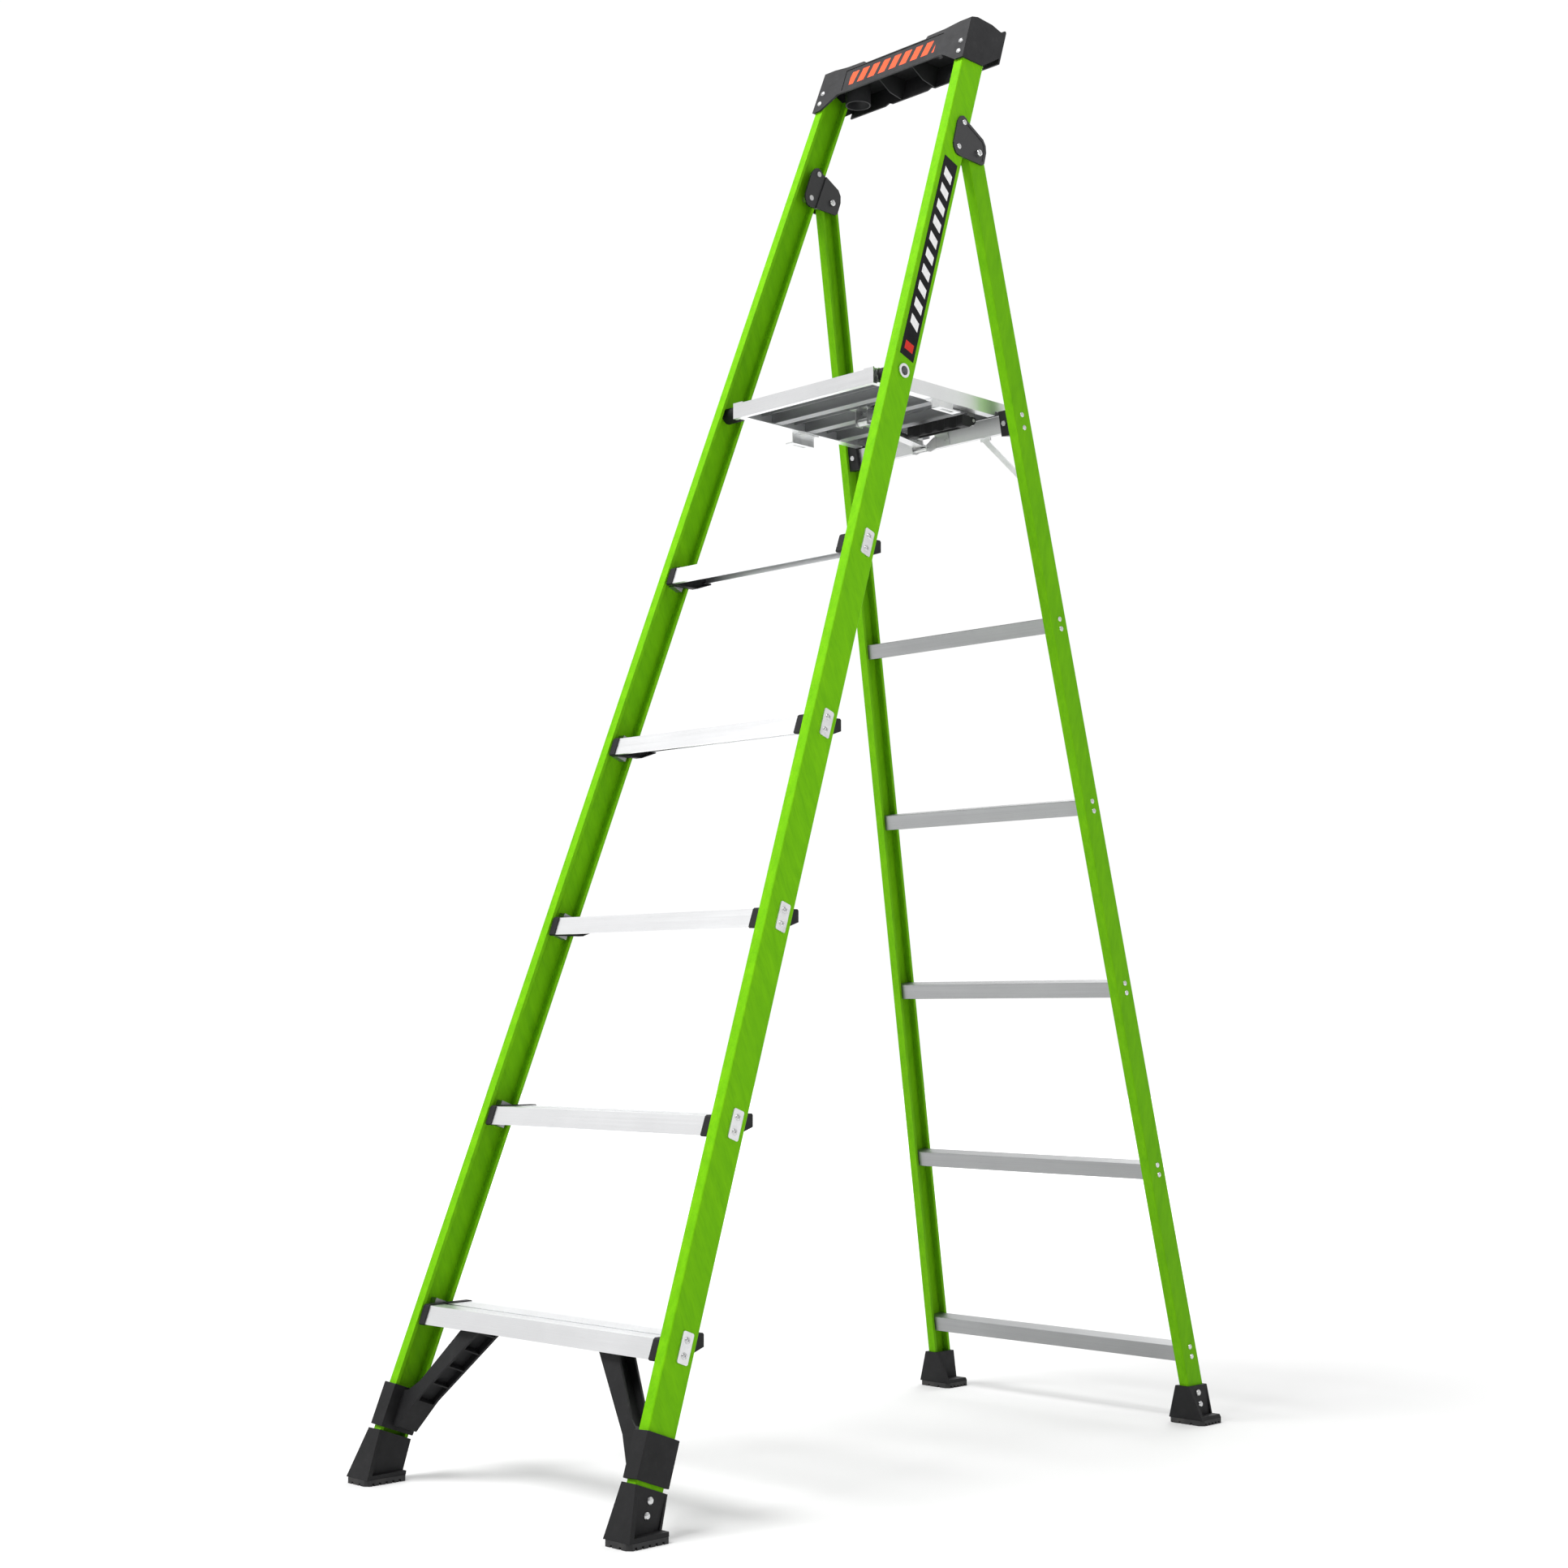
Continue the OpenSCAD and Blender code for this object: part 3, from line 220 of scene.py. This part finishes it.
def cap_plastic(name, colour):
    """Moulded plastic with a row of plain orange bars printed on the sunk panel of the fascia."""
    s = moulded(name, colour, 1200)
    depth, along = rail_axes(s)
    side = s.dot((1, 0, 0))
    pitch, share = 0.026, 0.62
    bars = slanted_bars(s, side, along, -0.3, pitch, share)
    panel = s.math("MULTIPLY", s.within(side, -0.104, 0.104), s.within(along, 2.583, 2.611))
    front = s.math("LESS_THAN", depth, -0.0022)
    mask = s.math("MULTIPLY", s.math("MULTIPLY", bars, panel), front)
    ink = s.remap(s.noise(210, 4, 0.7), 0.28, 0.5, 0.75, 1.0)
    plain = s.bsdf.inputs["Base Color"].links[0].from_socket
    return s.set(Base_Color=s.mix(s.math("MULTIPLY", mask, ink), plain, (0.80, 0.085, 0.022)))


LIME_FRONT = fibreglass("lime_fibreglass_front", -FRONT_LEAN)
# The rear rails: the same fibreglass darkened by 0.84, painted shade.
LIME_REAR_PAINTED_SHADE = fibreglass("lime_fibreglass_rear_painted_shade", REAR_LEAN, 0.84)
BRIGHT = extruded("mill_aluminium", (0.93, 0.935, 0.945))
# The rear rungs and plugs: the same mill aluminium darkened, painted shade.
RUNG_PAINTED_SHADE = extruded("mill_aluminium_rung_painted_shade", (0.37, 0.375, 0.38), (0.34, 0.52))
# The deck and step brackets: the same mill aluminium darkened, painted shade.
DECK_PAINTED_SHADE = extruded("deck_aluminium_painted_shade", (0.40, 0.405, 0.415), (0.42, 0.56))
BEAM = extruded("beam_aluminium", (0.66, 0.665, 0.675))
PLATE = zinc("plate_aluminium", (0.78, 0.785, 0.795), (0.34, 0.5))
ZINC = zinc("zinc_steel", (0.64, 0.645, 0.65))
PLASTIC = moulded("black_plastic", (0.009, 0.009, 0.0098)).mat
CAP = cap_plastic("cap_plastic", (0.017, 0.017, 0.0185)).mat
STEEL = coated("black_steel", (0.011, 0.011, 0.0125))
RUBBER = rubber("sole_rubber")
NYLON = moulded("grey_nylon", (0.36, 0.37, 0.37), 1800).mat
LABEL = label_film("label_film")

LOOKS = {
    LIME_FRONT: ["front_rail_left", "front_rail_right"],
    LIME_REAR_PAINTED_SHADE: ["rear_rail_left", "rear_rail_right"],
    BRIGHT: ["step_%d" % i for i in range(1, 6)] + ["platform_fascia", "platform_side_left",
                                                    "platform_side_right", "platform_pivot_tubes"],
    DECK_PAINTED_SHADE: ["platform_planks", "step_brackets"],
    BEAM: ["rear_beam"],
    RUNG_PAINTED_SHADE: ["rear_rung_%d" % i for i in range(1, 6)] + ["rung_end_plugs"],
    PLATE: ["step_anchor_plates", "beam_braces", "tether_tabs"],
    ZINC: ["step_rivets", "front_boot_rivets", "cap_rivets", "hinge_rivets", "hinge_spacers", "hinge_pins",
           "rung_rivets", "rear_boot_rivets", "beam_fasteners", "latch_keeper", "latch_bracket", "latch_arm",
           "handle_hangers", "platform_rivets"],
    PLASTIC: ["step_end_caps", "knee_brace_left", "knee_brace_right", "front_boot_left",
              "front_boot_right", "platform_bushings", "rear_boot_left", "rear_boot_right",
              "beam_end_brackets", "release_handle"],
    CAP: ["top_cap"],
    STEEL: ["hinge_plate_outer_left", "hinge_plate_outer_right",
            "hinge_plate_inner_left", "hinge_plate_inner_right"],
    RUBBER: ["front_sole_pads", "rear_sole_pads"],
    NYLON: ["hinge_bushings"],
    LABEL: ["rail_labels"],
}
for material, names in LOOKS.items():
    for name in names:
        slots = NODES[name].data.materials
        if not len(slots):
            slots.append(material)
        for i in range(len(slots)):
            slots[i] = material


# ---------------------------------------------------------------- floor, light, camera
def floor():
    """Pale floor that glows more and more towards its edge, so that no horizon shows."""
    mesh = bpy.data.meshes.new("floor")
    half = 14.0
    corners = [(-half, -half, 0), (half, -half, 0), (half, half, 0), (-half, half, 0)]
    mesh.from_pydata(corners, [], [(0, 1, 2, 3)])
    obj = bpy.data.objects.new("floor", mesh)
    bpy.context.scene.collection.objects.link(obj)
    s = Shader("floor", Roughness=0.85, Emission_Color=(1, 1, 1, 1))
    far = s.node("ShaderNodeVectorMath", {0: s.coords}, operation="LENGTH").outputs["Value"]
    s.set(Base_Color=s.ramp(s.noise(0.6, 2, 0.5), (0.3, FLOOR_SHADES[0]), (0.7, FLOOR_SHADES[1])),
          Emission_Strength=s.remap(far, 1.2, 6.0, 0.14, 0.9))
    mesh.materials.append(s.mat)


def area_light(name, at, towards, size, power):
    """A round white lamp of a given diameter in metres and power in watts."""
    data = bpy.data.lights.new(name, "AREA")
    data.shape = "DISK"
    data.size = size
    data.energy = power
    obj = bpy.data.objects.new(name, data)
    obj.location = at
    obj.rotation_euler = (Vector(towards) - Vector(at)).to_track_quat("-Z", "Y").to_euler()
    bpy.context.scene.collection.objects.link(obj)


FLOOR_SHADES = (0.54, 0.56)
BACKDROP_SIDE = (-0.7, 0.7, 0.12)
DIM_SIDE, LIT_SIDE = 0.38, 1.02
EYE_AT = (2.70506, -2.79281, 0.71311)
EYE_TILT, EYE_PAN = math.radians(5.736), math.radians(44.807)
LENS_MM, SENSOR_MM = 52.91, 36

floor()
area_light("key", (-1.0, -4.8, 8.4), (0, -0.2, 0.9), 4.2, 980)
area_light("side", (5.2, 0.6, 3.0), (0, 0, 1.2), 3.0, 60)
area_light("back", (-1.5, 4.5, 4.0), (0, 0, 1.0), 3.0, 90)


def studio():
    """White backdrop, bright behind the ladder and dimmer in front, that still looks white all round."""
    world = bpy.data.worlds.new("studio")
    bpy.context.scene.world = world
    world.use_nodes = True
    tree = world.node_tree
    coords = tree.nodes.new("ShaderNodeTexCoord")
    across = tree.nodes.new("ShaderNodeVectorMath")
    across.operation = "DOT_PRODUCT"
    across.inputs[1].default_value = BACKDROP_SIDE
    fall = tree.nodes.new("ShaderNodeMapRange")
    for key, value in (("From Min", -0.35), ("From Max", 0.55), ("To Min", DIM_SIDE), ("To Max", LIT_SIDE)):
        fall.inputs[key].default_value = value
    tree.links.new(coords.outputs["Generated"], across.inputs[0])
    tree.links.new(across.outputs["Value"], fall.inputs["Value"])
    seen = tree.nodes.new("ShaderNodeMath")
    seen.operation = "MAXIMUM"
    tree.links.new(fall.outputs[0], seen.inputs[0])
    tree.links.new(tree.nodes.new("ShaderNodeLightPath").outputs["Is Camera Ray"], seen.inputs[1])
    tree.links.new(seen.outputs[0], tree.nodes["Background"].inputs["Strength"])
    tree.nodes["Background"].inputs["Color"].default_value = (1, 1, 1, 1)


studio()

camera = bpy.data.cameras.new("camera")
camera.sensor_width = SENSOR_MM
camera.lens = LENS_MM
camera.clip_end = 60
eye = bpy.data.objects.new("camera", camera)
eye.location = EYE_AT
eye.rotation_euler = (math.pi / 2 + EYE_TILT, 0, EYE_PAN)
bpy.context.scene.collection.objects.link(eye)
bpy.context.scene.camera = eye
bpy.context.scene.view_settings.view_transform = "Standard"

bpy.context.view_layer.update()
